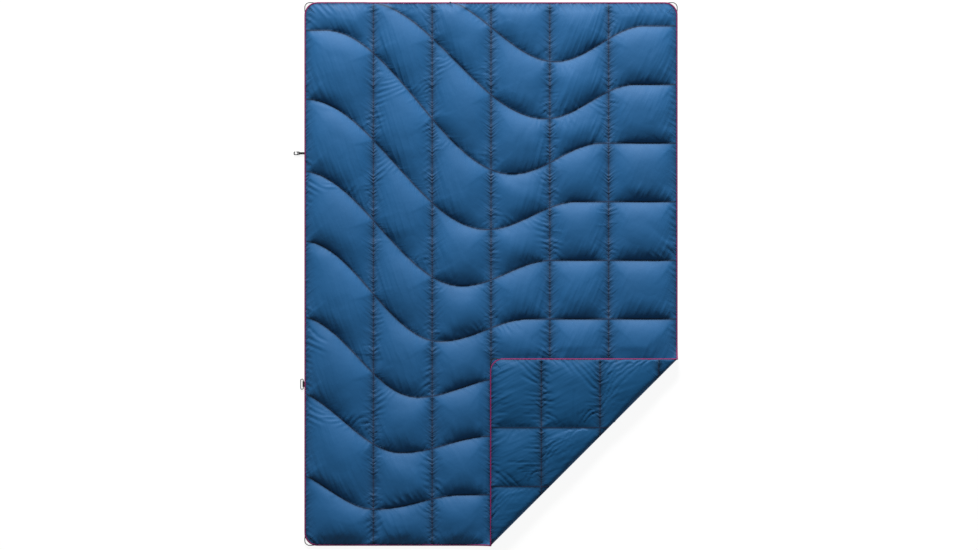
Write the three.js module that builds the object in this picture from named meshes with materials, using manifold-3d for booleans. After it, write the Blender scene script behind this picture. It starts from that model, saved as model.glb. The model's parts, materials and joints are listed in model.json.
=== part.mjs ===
// A quilted camp blanket lying flat, face up, with one corner turned over.
// Millimetres. X runs across it, Y towards its head, Z up; the origin is on the floor under its middle.
import * as THREE from 'three';
import { mergeVertices } from 'three/addons/utils/BufferGeometryUtils.js';
import Module from 'manifold-3d';

const wasm = await Module();
wasm.setup();

// ---- Driving dimensions ----

const WIDTH = 1308;
const LENGTH = 1905;
const CORNER_RADIUS = 45;
const LOFT = 30; // one layer, at the middle of a quilted cell
const SEAM_Z = 6; // top of the face fabric where it is sewn down, and at the edge
const FABRIC = 1;
const GAP = 0.3; // clearance between touching pieces

const BINDING_WIDTH = 5;
const BINDING_HEIGHT = 7;
const RIM = 34; // the column seams stop this far inside the edge
const WAVE_RIM = 20; // the wave seams stop this far inside it
const FILL_TO_FABRIC = 3;
const FILL_TO_SEAM = 4;
const FILL_TO_EDGE = 14;
const THREAD_WIDTH = 1.5;
const THREAD_HEIGHT = 0.8;
const THREAD_Z = SEAM_Z + 0.5; // underside of the column threads

// Five straight seams run from head to foot.
const COLUMN_PITCH = 206;
const COLUMN_SEAMS = [-2, -1, 0, 1, 2].map((i) => i * COLUMN_PITCH);

// Nine wave seams cross them. From the left each falls from a crest to a trough, then rises to a
// level run that reaches the right edge. The level runs are evenly spaced.
const LEVEL_TOP = 869;
const LEVEL_PITCH = 205.3;
const RISE_LENGTH = 316;
const WAVES = [
  { crest: [-197, 963], trough: [225, 744] },
  { crest: [-443, 953], trough: [190, 544] },
  { crest: [-583, 854], trough: [74, 350] },
  { crest: [-654, 613], trough: [-14, 156] },
  { crest: [-671, 362], trough: [-102, -42] },
  { crest: [-661, 116], trough: [-179, -236] },
  { crest: [-678, -148], trough: [-257, -432] },
  { crest: [-724, -401], trough: [-313, -626] },
  { crest: [-724, -689], trough: [-408, -824] },
];

// The foot-right corner is folded over at 45 degrees, along the line x - y = FOLD_OFFSET.
const FOLD_OFFSET = 949;
const FOLD_Z = LOFT + GAP / 2; // height of the fold's axis, between the two layers

// Corner loops of thin cord.
const CORD_RADIUS = 1.5;
const CORD_Z = 3.2;
const LOOP_BEND = 17; // radius of the cord's centreline round the corner
const BEZIER_ARC = 0.552; // handle of a Bezier quarter circle, as a share of its radius
const LOOP_FOOT = 40; // how far along each edge the cord is caught in the binding

// Clip and keeper, on the left edge.
const CLIP_Y = 423;
const KEEPER_Y = -386;
const HARDWARE_Z = 3.2;
const WEBBING = 2.2; // two plies sewn together
const WEBBING_PLY = 1;
const TAB_WIDTH = 8;
const EYE_REACH = 17; // from the edge to the middle of the hook's bar
const EYE_RADIUS = 2.1; // inside the webbing's turned end
const HOOK = { start: 16, end: 37.6, width: 12.7, thickness: 3.2, wall: 3.1, corner: 4 };
const HOOK_SLOT = { start: 18, end: 20.8, halfWidth: 4.5, corner: 0.8 };
const HOOK_THROAT = { start: 24.2, end: 33.8, corner: 2.4 };
const HOOK_MOUTH = { start: 28.2, end: 32, corner: 0.6 };
const KEEPER = { barReach: 3.8, bowReach: 12.9, length: 35.6, corner: 4.2, wire: 1.5 };
const KEEPER_TAB_WIDTH = 20;

const HALF_WIDTH = WIDTH / 2;
const HALF_LENGTH = LENGTH / 2;
const FAR = 3000;

// ---- Materials ----

const fabric = (color) => new THREE.MeshStandardMaterial({ color, roughness: 0.45, metalness: 0 });
const faceNylon = fabric(0x2f6ba3);
const backNylon = fabric(0x2a5f94);
const fillFibre = new THREE.MeshStandardMaterial({ color: 0xe9ecec, roughness: 0.95, metalness: 0 });
const bindingTape = fabric(0x8c2a5e);
const quiltThread = fabric(0x6e2c5a);
const blackCord = new THREE.MeshStandardMaterial({ color: 0x24242a, roughness: 0.8, metalness: 0 });
const blackWebbing = new THREE.MeshStandardMaterial({ color: 0x18181c, roughness: 0.85, metalness: 0 });
const blackNylon = new THREE.MeshStandardMaterial({ color: 0x0e0e11, roughness: 0.4, metalness: 0 });

// ---- Solids ----

function solidOf(geometry) {
  const bare = new THREE.BufferGeometry();
  bare.setAttribute('position', geometry.getAttribute('position').clone());
  if (geometry.index) bare.setIndex(geometry.index.clone());
  const merged = mergeVertices(bare, 1e-4);
  const index = merged.index.array;
  const kept = [];
  for (let i = 0; i < index.length; i += 3) {
    const [a, b, c] = [index[i], index[i + 1], index[i + 2]];
    if (a !== b && b !== c && c !== a) kept.push(a, b, c);
  }
  const vertProperties = new Float32Array(merged.getAttribute('position').array);
  return new wasm.Manifold(new wasm.Mesh({ numProp: 3, vertProperties, triVerts: new Uint32Array(kept) }));
}

function geometryOf(solid) {
  const mesh = solid.getMesh();
  const geometry = new THREE.BufferGeometry();
  geometry.setAttribute('position', new THREE.BufferAttribute(new Float32Array(mesh.vertProperties), 3));
  geometry.setIndex(new THREE.BufferAttribute(new Uint32Array(mesh.triVerts), 1));
  return geometry;
}

// A plan outline raised from z0 to z1.
function prism(shape, z0, z1, curveSegments = 6) {
  const geometry = new THREE.ExtrudeGeometry(shape, { depth: z1 - z0, bevelEnabled: false, curveSegments });
  return solidOf(geometry.translate(0, 0, z0));
}

// The blanket's outline, moved in by inset.
function outline(inset) {
  const [x, y, r] = [HALF_WIDTH - inset, HALF_LENGTH - inset, CORNER_RADIUS - inset];
  const shape = new THREE.Shape();
  shape.absarc(x - r, y - r, r, 0, Math.PI / 2);
  shape.absarc(r - x, y - r, r, Math.PI / 2, Math.PI);
  shape.absarc(r - x, r - y, r, Math.PI, Math.PI * 1.5);
  shape.absarc(x - r, r - y, r, Math.PI * 1.5, Math.PI * 2);
  return shape;
}

// All that lies between two distances from the fold, on the corner's side (1) or the other (-1).
function besideFold(side, near, far) {
  const [a, b] = [near, far].map((distance) => FOLD_OFFSET + side * distance * Math.SQRT2);
  const shape = new THREE.Shape([
    new THREE.Vector2(a - FAR, -FAR),
    new THREE.Vector2(a + FAR, FAR),
    new THREE.Vector2(b + FAR, FAR),
    new THREE.Vector2(b - FAR, -FAR),
  ]);
  return prism(shape, 0, 3 * LOFT);
}

const REST_SIDE = besideFold(-1, GAP, FAR);
const CORNER_SIDE = besideFold(1, GAP, FAR);
const REST_INSIDE = besideFold(-1, FABRIC + 2 * GAP, FAR);
const CORNER_INSIDE = besideFold(1, FABRIC + 2 * GAP, FAR);
const REST_TURN = besideFold(-1, GAP, GAP + FABRIC);
const CORNER_TURN = besideFold(1, GAP, GAP + FABRIC);

// Turns the corner over: mirrored in the fold in plan, and lying on top of the layer below it.
const TURN_OVER = new THREE.Matrix4().set(
  0, 1, 0, FOLD_OFFSET,
  1, 0, 0, -FOLD_OFFSET,
  0, 0, 1, LOFT + GAP,
  0, 0, 0, 1,
);

function turnedOver(solid) {
  const geometry = geometryOf(solid).applyMatrix4(TURN_OVER);
  const index = geometry.index.array;
  for (let i = 0; i < index.length; i += 3) [index[i], index[i + 1]] = [index[i + 1], index[i]];
  return solidOf(geometry);
}

function largestPart(solid) {
  return solid.decompose().reduce((a, b) => (b.volume() > a.volume() ? b : a));
}

// ---- The quilting pattern ----

function waveY(k, x) {
  const { crest, trough } = WAVES[k];
  const level = LEVEL_TOP - LEVEL_PITCH * k;
  const ease = (t) => (1 - Math.cos(Math.PI * THREE.MathUtils.clamp(t, 0, 1))) / 2;
  if (x < trough[0]) {
    return THREE.MathUtils.lerp(crest[1], trough[1], ease((x - crest[0]) / (trough[0] - crest[0])));
  }
  return THREE.MathUtils.lerp(trough[1], level, ease((x - trough[0]) / RISE_LENGTH));
}

// The line above band b: the head edge, a wave seam, or the foot edge.
function bandLine(b, x) {
  if (b === 0) return HALF_LENGTH;
  if (b > WAVES.length) return -HALF_LENGTH;
  return Math.min(waveY(b - 1, x), HALF_LENGTH);
}

// How much of its full loft a cell has across a column and along a band.
const ACROSS = [[0, 0], [0.25, 0.9], [0.5, 1], [0.75, 0.9], [1, 0]];
const ALONG = [[0, 0], [0.25, 1], [0.75, 1], [1, 0]];
const LEVEL_PART = ALONG.slice(1, -1).map(([t]) => t);
const FULL_BAND = 130; // a band narrower than this has less loft

function interpolate(knots, t) {
  const i = Math.max(1, knots.findIndex(([at]) => at >= t));
  const [[t0, h0], [t1, h1]] = [knots[i - 1], knots[i]];
  return h0 + ((h1 - h0) * (t - t0)) / (t1 - t0);
}

// The places across the blanket where its surface has points, with the loft at each.
const STATIONS = [];
const COLUMN_LINES = [-HALF_WIDTH, ...COLUMN_SEAMS, HALF_WIDTH];
for (let c = 1; c < COLUMN_LINES.length; c++) {
  for (const [t, loft] of ACROSS.slice(c === 1 ? 0 : 1)) {
    STATIONS.push({ x: THREE.MathUtils.lerp(COLUMN_LINES[c - 1], COLUMN_LINES[c], t), loft });
  }
}

function bandHeight(b, x) {
  return bandLine(b, x) - bandLine(b + 1, x);
}

function faceZ(b, station, t) {
  const fullness = Math.min(1, bandHeight(b, station.x) / FULL_BAND);
  return SEAM_Z + (LOFT - SEAM_Z) * station.loft * interpolate(ALONG, t) * fullness;
}

// A closed solid between two surfaces, from a grid of columns of [x, y, upper z, lower z].
function gridSolid(columns) {
  const [n, m] = [columns.length, columns[0].length];
  const position = [];
  for (const column of columns) for (const [x, y, z] of column) position.push(x, y, z);
  for (const column of columns) for (const [x, y, , z] of column) position.push(x, y, z);
  const index = [];
  const quad = (a, b, c, d) => index.push(a, b, c, a, c, d);
  const upper = (i, j) => i * m + j;
  const lower = (i, j) => n * m + i * m + j;
  for (let i = 0; i + 1 < n; i++) {
    for (let j = 0; j + 1 < m; j++) {
      quad(upper(i, j), upper(i, j + 1), upper(i + 1, j + 1), upper(i + 1, j));
      quad(lower(i, j), lower(i + 1, j), lower(i + 1, j + 1), lower(i, j + 1));
    }
    quad(upper(i, 0), upper(i + 1, 0), lower(i + 1, 0), lower(i, 0));
    quad(upper(i, m - 1), lower(i, m - 1), lower(i + 1, m - 1), upper(i + 1, m - 1));
  }
  for (let j = 0; j + 1 < m; j++) {
    quad(upper(0, j), lower(0, j), lower(0, j + 1), upper(0, j + 1));
    quad(upper(n - 1, j), upper(n - 1, j + 1), lower(n - 1, j + 1), lower(n - 1, j));
  }
  const geometry = new THREE.BufferGeometry();
  geometry.setAttribute('position', new THREE.Float32BufferAttribute(position, 3));
  geometry.setIndex(index);
  return solidOf(geometry);
}

// What lies between the puffed upper fabric of the whole blanket, opened out, and a height below it.
function puffedSolid(lowerZ) {
  const bands = [...Array(WAVES.length + 1).keys()];
  const columns = STATIONS.map((station) => bands.flatMap((b) =>
    ALONG.slice(b === 0 ? 0 : 1).map(([t]) => {
      const y = THREE.MathUtils.lerp(bandLine(b, station.x), bandLine(b + 1, station.x), t);
      const z = faceZ(b, station, t);
      return [station.x, y, z, lowerZ(z)];
    })));
  return gridSolid(columns).intersect(prism(outline(BINDING_WIDTH + GAP), -LOFT, 3 * LOFT));
}

// The fibre between two wave seams. It thins out where a column seam crosses it.
function fillBand(b) {
  const inside = STATIONS.filter(({ x }) => bandHeight(b, x) > 5 * FILL_TO_SEAM);
  const columns = inside.map((station) => {
    const inset = FILL_TO_SEAM / bandHeight(b, station.x);
    return [inset, ...LEVEL_PART, 1 - inset].map((t) => {
      const y = THREE.MathUtils.lerp(bandLine(b, station.x), bandLine(b + 1, station.x), t);
      return [station.x, y, faceZ(b, station, t) - FABRIC - FILL_TO_FABRIC, FABRIC + GAP];
    });
  });
  return gridSolid(columns).intersect(prism(outline(FILL_TO_EDGE), -LOFT, 3 * LOFT));
}

function columnThread(x) {
  const end = HALF_LENGTH - RIM;
  const half = THREAD_WIDTH / 2;
  return gridSolid([x - half, x + half].map((at) => [
    [at, end, THREAD_Z + THREAD_HEIGHT, THREAD_Z],
    [at, -end, THREAD_Z + THREAD_HEIGHT, THREAD_Z],
  ]));
}

// The wave threads cross over the column threads.
function waveThread(k) {
  const half = THREAD_WIDTH / 2;
  const z = THREAD_Z + THREAD_HEIGHT + GAP;
  const ribbon = gridSolid(STATIONS.map(({ x }) => [
    [x, waveY(k, x) + half, z + THREAD_HEIGHT, z],
    [x, waveY(k, x) - half, z + THREAD_HEIGHT, z],
  ]));
  return ribbon.intersect(prism(outline(WAVE_RIM), 0, LOFT));
}

function binding() {
  const outer = prism(outline(0), 0, BINDING_HEIGHT);
  return outer.subtract(prism(outline(BINDING_WIDTH), -LOFT, LOFT));
}

// A cord caught in the binding on both sides of a corner, bowed out to the square of the corner.
// right and head are 1 or -1 and pick the corner.
function cornerLoop(right, head) {
  const place = (dx, dy) => new THREE.Vector3(right * (HALF_WIDTH - dx), head * (HALF_LENGTH - dy), CORD_Z);
  const bend = LOOP_BEND + CORD_RADIUS;
  const path = new THREE.CurvePath();
  path.add(new THREE.LineCurve3(place(CORD_RADIUS, LOOP_FOOT), place(CORD_RADIUS, bend)));
  path.add(new THREE.CubicBezierCurve3(
    place(CORD_RADIUS, bend),
    place(CORD_RADIUS, bend - BEZIER_ARC * LOOP_BEND),
    place(bend - BEZIER_ARC * LOOP_BEND, CORD_RADIUS),
    place(bend, CORD_RADIUS),
  ));
  path.add(new THREE.LineCurve3(place(bend, CORD_RADIUS), place(LOOP_FOOT, CORD_RADIUS)));
  const section = new THREE.Shape().absarc(0, 0, CORD_RADIUS, 0, Math.PI * 2);
  const cord = new THREE.ExtrudeGeometry(section, { steps: 14, curveSegments: 4, extrudePath: path });
  return largestPart(solidOf(cord).subtract(prism(outline(-GAP), -LOFT, LOFT)));
}

// ---- The clip, its webbing, the keeper ring and its webbing ----

// A strip of webbing along -X, seen from its side: a rounded root at reach root, and a turned end
// with a round eye at reach eye.
function webbingSide(root, eye, eyeRadius) {
  const [half, outer] = [WEBBING / 2, eyeRadius + WEBBING_PLY];
  const lean = Math.asin(half / outer);
  const shape = new THREE.Shape();
  shape.absarc(-eye, 0, outer, lean, Math.PI * 2 - lean);
  shape.absarc(-root, 0, half, -Math.PI / 2, Math.PI / 2);
  shape.closePath();
  shape.holes.push(new THREE.Path().absarc(-eye, 0, eyeRadius, 0, Math.PI * 2, true));
  return shape;
}

function webbingTab(root, eye, eyeRadius, width) {
  const shape = webbingSide(root, eye, eyeRadius);
  const geometry = new THREE.ExtrudeGeometry(shape, { depth: width, bevelEnabled: false, curveSegments: 6 });
  return solidOf(geometry.translate(0, 0, -width / 2).rotateX(Math.PI / 2));
}

// The outline of a rectangle with round corners of radius r.
function roundedRectangle(x0, x1, y0, y1, r) {
  const shape = new THREE.Shape();
  shape.absarc(x1 - r, y1 - r, r, 0, Math.PI / 2);
  shape.absarc(x0 + r, y1 - r, r, Math.PI / 2, Math.PI);
  shape.absarc(x0 + r, y0 + r, r, Math.PI, Math.PI * 1.5);
  shape.absarc(x1 - r, y0 + r, r, Math.PI * 1.5, Math.PI * 2);
  return shape;
}

// A moulded hook: a bar and slot for the webbing, and an open throat with a side mouth.
function clipHook() {
  const [half, rise] = [HOOK.width / 2, HOOK.thickness / 2];
  const block = (part, y0, y1, z) =>
    prism(roundedRectangle(-part.end, -part.start, y0, y1, part.corner), -z, z, 4);
  return block(HOOK, -half, half, rise)
    .subtract(block(HOOK_SLOT, -HOOK_SLOT.halfWidth, HOOK_SLOT.halfWidth, LOFT))
    .subtract(block(HOOK_THROAT, HOOK.wall - half, half - HOOK.wall, LOFT))
    .subtract(block(HOOK_MOUTH, 0, half + HOOK.wall, LOFT));
}

// A low ring of round wire that swings on its straight side.
function keeperRing() {
  const { barReach, bowReach, length, corner, wire } = KEEPER;
  const half = length / 2;
  const points = [];
  const turn = (x, y, from) => {
    for (let i = 0; i <= 3; i++) {
      const a = from + (i / 3) * (Math.PI / 2);
      points.push(new THREE.Vector3(x + corner * Math.cos(a), y + corner * Math.sin(a), 0));
    }
  };
  turn(-barReach - corner, half - corner, 0);
  turn(-bowReach + corner, half - corner, Math.PI / 2);
  turn(-bowReach + corner, corner - half, Math.PI);
  turn(-barReach - corner, corner - half, Math.PI * 1.5);
  return ringOfWire(points, wire);
}

// Round wire, eight-sided, along a closed level path.
function ringOfWire(points, radius) {
  const sides = 8;
  const position = [];
  const index = [];
  const n = points.length;
  for (let i = 0; i < n; i++) {
    const ahead = points[(i + 1) % n].clone().sub(points[i]).normalize();
    const behind = points[i].clone().sub(points[(i + n - 1) % n]).normalize();
    const along = ahead.clone().add(behind).normalize();
    const out = new THREE.Vector3(along.y, -along.x, 0).divideScalar(along.dot(ahead));
    for (let s = 0; s < sides; s++) {
      const a = ((s + 0.5) / sides) * Math.PI * 2;
      const at = points[i].clone().addScaledVector(out, radius * Math.cos(a));
      position.push(at.x, at.y, at.z + radius * Math.sin(a));
      const [i2, s2] = [(i + 1) % n, (s + 1) % sides];
      const [p, q, r, t] = [i * sides + s, i * sides + s2, i2 * sides + s2, i2 * sides + s];
      index.push(p, r, q, p, t, r);
    }
  }
  const geometry = new THREE.BufferGeometry();
  geometry.setAttribute('position', new THREE.Float32BufferAttribute(position, 3));
  geometry.setIndex(index);
  return solidOf(geometry);
}

// ---- Assembly ----

const blanket = new THREE.Group();

function add(name, solid, material, place) {
  const mesh = new THREE.Mesh(geometryOf(solid), material);
  mesh.name = name;
  if (place) mesh.position.set(...place);
  blanket.add(mesh);
}

const number = (i) => String(i + 1).padStart(2, '0');

// Puts a piece of the opened blanket on one or both sides of the fold, inside the turned fabric.
function addFolded(name, solid, material) {
  const rest = solid.intersect(REST_INSIDE);
  const corner = solid.intersect(CORNER_INSIDE);
  if (rest.volume() > 1) add(name, largestPart(rest), material);
  if (corner.volume() > 1) add(`flap_${name}`, turnedOver(largestPart(corner)), material);
}

// The fabric underneath is flat: the back of the blanket, and the face of the turned corner. The
// back fabric is the outer one at the fold, so on both layers it closes the end as a wall.
const field = prism(outline(BINDING_WIDTH + GAP), 0, LOFT);
const lowerSheet = prism(outline(BINDING_WIDTH + GAP), 0, FABRIC);
const puffedSheet = puffedSolid((z) => z - FABRIC);
const underPuffs = puffedSolid(() => 0);
add('back_shell', lowerSheet.intersect(REST_SIDE).add(field.intersect(REST_TURN)), backNylon);
add('face_shell', puffedSheet.intersect(REST_INSIDE), faceNylon);
add('flap_face_shell', turnedOver(lowerSheet.intersect(CORNER_INSIDE)), faceNylon);
const flapTop = puffedSheet.intersect(CORNER_SIDE).add(underPuffs.intersect(CORNER_TURN));
add('flap_back_shell', turnedOver(flapTop), backNylon);
for (let b = 0; b <= WAVES.length; b++) addFolded(`fill_band_${number(b)}`, fillBand(b), fillFibre);
COLUMN_SEAMS.forEach((x, i) => addFolded(`column_stitch_${number(i)}`, columnThread(x), quiltThread));
WAVES.forEach((_, k) => addFolded(`wave_stitch_${number(k)}`, waveThread(k), quiltThread));
addFolded('edge_binding', binding(), bindingTape);

add('corner_loop_head_left', cornerLoop(-1, 1), blackCord);
add('corner_loop_head_right', cornerLoop(1, 1), blackCord);
add('corner_loop_foot_left', cornerLoop(-1, -1), blackCord);
add('flap_corner_loop', turnedOver(cornerLoop(1, -1)), blackCord);

const CLIP_AT = [-HALF_WIDTH, CLIP_Y, HARDWARE_Z];
const KEEPER_AT = [-HALF_WIDTH, KEEPER_Y, HARDWARE_Z];
const ROOT = GAP + WEBBING / 2;
add('clip_webbing', webbingTab(ROOT, EYE_REACH, EYE_RADIUS, TAB_WIDTH), blackWebbing, CLIP_AT);
add('clip_hook', clipHook(), blackNylon, CLIP_AT);
const keeperEye = KEEPER.wire + 0.4;
add('keeper_webbing', webbingTab(ROOT, KEEPER.barReach, keeperEye, KEEPER_TAB_WIDTH), blackWebbing, KEEPER_AT);
add('keeper_ring', keeperRing(), blackNylon, KEEPER_AT);

export default blanket;
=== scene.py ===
"""A quilted camp blanket, laid flat with one corner turned over. Metres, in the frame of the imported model."""

import json
import math
from concurrent.futures import ThreadPoolExecutor

import bpy
import numpy as np
from mathutils import Matrix, Vector


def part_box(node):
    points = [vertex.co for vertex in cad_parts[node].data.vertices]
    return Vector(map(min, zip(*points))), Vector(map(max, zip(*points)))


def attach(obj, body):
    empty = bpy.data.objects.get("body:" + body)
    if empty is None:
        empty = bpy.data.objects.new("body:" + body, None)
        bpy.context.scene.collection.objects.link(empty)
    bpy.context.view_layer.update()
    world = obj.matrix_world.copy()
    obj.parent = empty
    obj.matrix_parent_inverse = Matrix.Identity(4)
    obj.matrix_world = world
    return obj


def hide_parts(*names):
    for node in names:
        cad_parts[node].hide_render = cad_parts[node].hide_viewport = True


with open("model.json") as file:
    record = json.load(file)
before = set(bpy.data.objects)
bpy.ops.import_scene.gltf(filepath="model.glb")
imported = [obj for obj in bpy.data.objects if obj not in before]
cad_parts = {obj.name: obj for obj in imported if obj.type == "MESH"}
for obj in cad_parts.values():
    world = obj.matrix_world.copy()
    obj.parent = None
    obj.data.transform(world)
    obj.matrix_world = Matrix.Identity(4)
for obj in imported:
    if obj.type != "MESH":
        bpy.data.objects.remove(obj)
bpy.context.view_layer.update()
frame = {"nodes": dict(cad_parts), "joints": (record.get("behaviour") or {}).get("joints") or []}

# ---- Places and sizes, from the frame where it has them ----

HALF_W, HALF_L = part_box("edge_binding")[1].x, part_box("edge_binding")[1].y
COLUMN_BOXES = [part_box(f"column_stitch_0{i}") for i in range(1, 6)]
COLUMNS = [round((low.x + high.x) / 2, 4) for low, high in COLUMN_BOXES]
FOLD = next(j for j in frame["joints"] if j["name"] == "corner_fold")
FOLD_OFFSET = FOLD["pos_m"][0] - FOLD["pos_m"][1]  # the fold is the line x - y = FOLD_OFFSET
FOLD_Z = FOLD["pos_m"][2]
CORNER_RADIUS = 0.045

# The wave seams: crest, trough, and a level run at LEVEL_TOP - k * LEVEL_PITCH.
LEVEL_TOP, LEVEL_PITCH, RISE_LENGTH = 0.869, 0.2053, 0.316
WAVES = [
    ((-0.197, 0.963), (0.225, 0.744)),
    ((-0.443, 0.953), (0.190, 0.544)),
    ((-0.583, 0.854), (0.074, 0.350)),
    ((-0.654, 0.613), (-0.014, 0.156)),
    ((-0.671, 0.362), (-0.102, -0.042)),
    ((-0.661, 0.116), (-0.179, -0.236)),
    ((-0.678, -0.148), (-0.257, -0.432)),
    ((-0.724, -0.401), (-0.313, -0.626)),
    ((-0.724, -0.689), (-0.408, -0.824)),
]
COLUMN_RIM = 0.036  # the column seams stop this far inside the edge
WAVE_RIM = 0.022

TAPE_HALF = 0.0027  # half the width of the edge tape
TAPE_RISE = 0.0016  # half its thickness
EDGE_Z, SEAM_Z = 0.005, 0.0078  # heights of the edge and of the seams on the blanket
FLAP_EDGE_Z, FLAP_SEAM_Z = 0.026, 0.0205  # and on the corner, opened out
TOP_Z = 0.0405  # of the face, in the middle of a full cell
THREAD = 0.00035  # gap between each fabric and the height at which they are sewn
EDGE_BLEND = 0.045  # the edge's height runs into the seams' over this distance
FOLD_FADE = 0.014  # the rise to the fold dies away over about this distance
CURVE_POINTS = 2000  # along each wave seam


# ---- Camera, first ----

def add_camera():
    data = bpy.data.cameras.new("camera")
    camera = bpy.data.objects.new("camera", data)
    bpy.context.scene.collection.objects.link(camera)
    distance, shown_height = 12.0, 1.928
    data.sensor_width = 36.0
    data.lens = data.sensor_width * distance / (shown_height * 978 / 550)
    data.clip_end = 100
    camera.location = (-0.007, -0.0035, distance)
    bpy.context.scene.camera = camera


add_camera()


# ---- The quilting pattern ----

def ease(t):
    return (1 - np.cos(np.pi * np.clip(t, 0, 1))) / 2


def wave_y(k, x):
    (crest_x, crest_y), (trough_x, trough_y) = WAVES[k]
    level = LEVEL_TOP - LEVEL_PITCH * k
    fall = crest_y + (trough_y - crest_y) * ease((x - crest_x) / (trough_x - crest_x))
    rise = trough_y + (level - trough_y) * ease((x - trough_x) / RISE_LENGTH)
    return np.where(x < trough_x, fall, rise)


def inside_edge(x, y, inset=TAPE_HALF):
    """How far a point is inside the blanket's outline, which has round corners."""
    radius = CORNER_RADIUS - inset
    dx, dy = np.abs(x) - (HALF_W - inset - radius), np.abs(y) - (HALF_L - inset - radius)
    corner = np.hypot(np.maximum(dx, 0), np.maximum(dy, 0))
    return radius - corner - np.minimum(np.maximum(dx, dy), 0)


def beyond_fold(x, y):
    """How far a point is past the fold, towards the corner; negative on the blanket's side."""
    return (x - y - FOLD_OFFSET) / math.sqrt(2)


def smooth(t):
    t = np.clip(t, 0, 1)
    return t * t * (3 - 2 * t)


def seam_height(x, y):
    """The height at which the two fabrics are sewn together, with the corner opened out."""
    past, inner = beyond_fold(x, y), smooth(inside_edge(x, y) / EDGE_BLEND)
    rest = EDGE_Z + (SEAM_Z - EDGE_Z) * inner
    corner = FLAP_EDGE_Z + (FLAP_SEAM_Z - FLAP_EDGE_Z) * inner
    level = np.where(past < 0, rest, corner)
    return level + (FOLD_Z - level) * np.exp(-np.abs(past) / FOLD_FADE)


def turned_over(points):
    """Half a turn about the fold, which takes the opened corner to where it lies."""
    x, y, z = points[..., 0], points[..., 1], points[..., 2]
    return np.stack([y + FOLD_OFFSET, x - FOLD_OFFSET, 2 * FOLD_Z - z], axis=-1)


# ---- The cloth grid: even squares, with points moved onto the seams, the fold and the outline ----

STEP = 0.00479  # side of a square
lines = [-HALF_W + TAPE_HALF, *COLUMNS, HALF_W - TAPE_HALF]
spans = [max(1, round((b - a) / STEP)) for a, b in zip(lines, lines[1:])]
between = [np.linspace(a, b, n + 1) for a, b, n in zip(lines, lines[1:], spans)]
grid_x = np.concatenate([between[0], *(part[1:] for part in between[1:])])
grid_y = np.linspace(-HALF_L + TAPE_HALF, HALF_L - TAPE_HALF, round(2 * HALF_L / STEP) + 1)
NX, NY = len(grid_x), len(grid_y)
flat_x, flat_y = (a.copy() for a in np.meshgrid(grid_x, grid_y, indexing="ij"))
chain = np.zeros((NX, NY), int)  # which seam a point was moved onto
sewn = np.zeros((NX, NY), bool)
chains = {}  # the grid points along each seam, in order
FOLD_CHAIN = len(WAVES) + 1


def join_chain(key, cells, xs, ys, fixed):
    """Moves the grid points cells onto the places xs, ys of one seam."""
    i, j = cells
    flat_x[i, j], flat_y[i, j] = xs, ys
    chain[i, j] = key
    sewn[i, j] |= fixed
    chains.setdefault(key, []).append((i, j))


def lay_curve(key, x, y, sewn_at):
    """Moves one grid point per column onto a curve, or one per row where the curve is steep."""
    slope = np.gradient(y, x)
    steep = np.abs(slope) > 1
    for i in range(NX):
        at = np.interp(grid_x[i], x, np.arange(len(x)))
        if x[0] <= grid_x[i] <= x[-1] and not steep[int(at)]:
            here = np.interp(grid_x[i], x, y)
            j = int(np.argmin(np.abs(grid_y - here)))
            if abs(grid_y[j] - here) < STEP:
                join_chain(key, (i, j), grid_x[i], here, sewn_at(grid_x[i], here))
    if steep.any():
        first, last = np.flatnonzero(steep)[[0, -1]]
        xs, ys = x[first:last + 1], y[first:last + 1]
        order = np.argsort(ys)
        for j in range(NY):
            if ys.min() <= grid_y[j] <= ys.max():
                here = np.interp(grid_y[j], ys[order], xs[order])
                i = int(np.argmin(np.abs(grid_x - here)))
                join_chain(key, (i, j), here, grid_y[j], sewn_at(here, grid_y[j]))


for k in range(len(WAVES)):
    xs = np.linspace(-HALF_W, HALF_W, CURVE_POINTS)
    lay_curve(k + 1, xs, wave_y(k, xs), lambda x, y: inside_edge(x, y) > WAVE_RIM)
for x in COLUMNS:
    i = int(np.argmin(np.abs(grid_x - x)))
    sewn[i] |= np.abs(grid_y) < HALF_L - COLUMN_RIM
fold_x = grid_x[grid_x - FOLD_OFFSET > -HALF_L + TAPE_HALF]
for x in fold_x:
    i, j = int(np.argmin(np.abs(grid_x - x))), int(np.argmin(np.abs(grid_y - (x - FOLD_OFFSET))))
    join_chain(FOLD_CHAIN, (i, j), x, x - FOLD_OFFSET, True)
i = int(np.argmin(np.abs(grid_x - fold_x[0]))) - 1
join_chain(FOLD_CHAIN, (i, 0), grid_y[0] + FOLD_OFFSET, grid_y[0], True)

# Cells inside the outline, and the points round the outside of them, moved onto the outline.
middle_x = (grid_x[1:] + grid_x[:-1])[:, None] / 2
middle_y = (grid_y[1:] + grid_y[:-1])[None] / 2
cell = inside_edge(middle_x, middle_y) > 0.0005
around = np.pad(cell, 1).astype(int)
touching = around[1:, 1:] + around[:-1, 1:] + around[1:, :-1] + around[:-1, :-1]
used, rim = touching > 0, (touching > 0) & (touching < 4)
for i, j in np.argwhere(rim):
    if abs(flat_x[i, j]) > HALF_W - CORNER_RADIUS and abs(flat_y[i, j]) > HALF_L - CORNER_RADIUS:
        cx = math.copysign(HALF_W - CORNER_RADIUS, flat_x[i, j])
        cy = math.copysign(HALF_L - CORNER_RADIUS, flat_y[i, j])
        away = Vector((flat_x[i, j] - cx, flat_y[i, j] - cy)).normalized() * (CORNER_RADIUS - TAPE_HALF)
        flat_x[i, j], flat_y[i, j] = cx + away.x, cy + away.y
on_fold = chain == FOLD_CHAIN
past = np.where(on_fold, 0.0, beyond_fold(flat_x, flat_y))
held = sewn | rim | on_fold | ~used


# ---- The nearest seam or edge to each grid point ----

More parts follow.
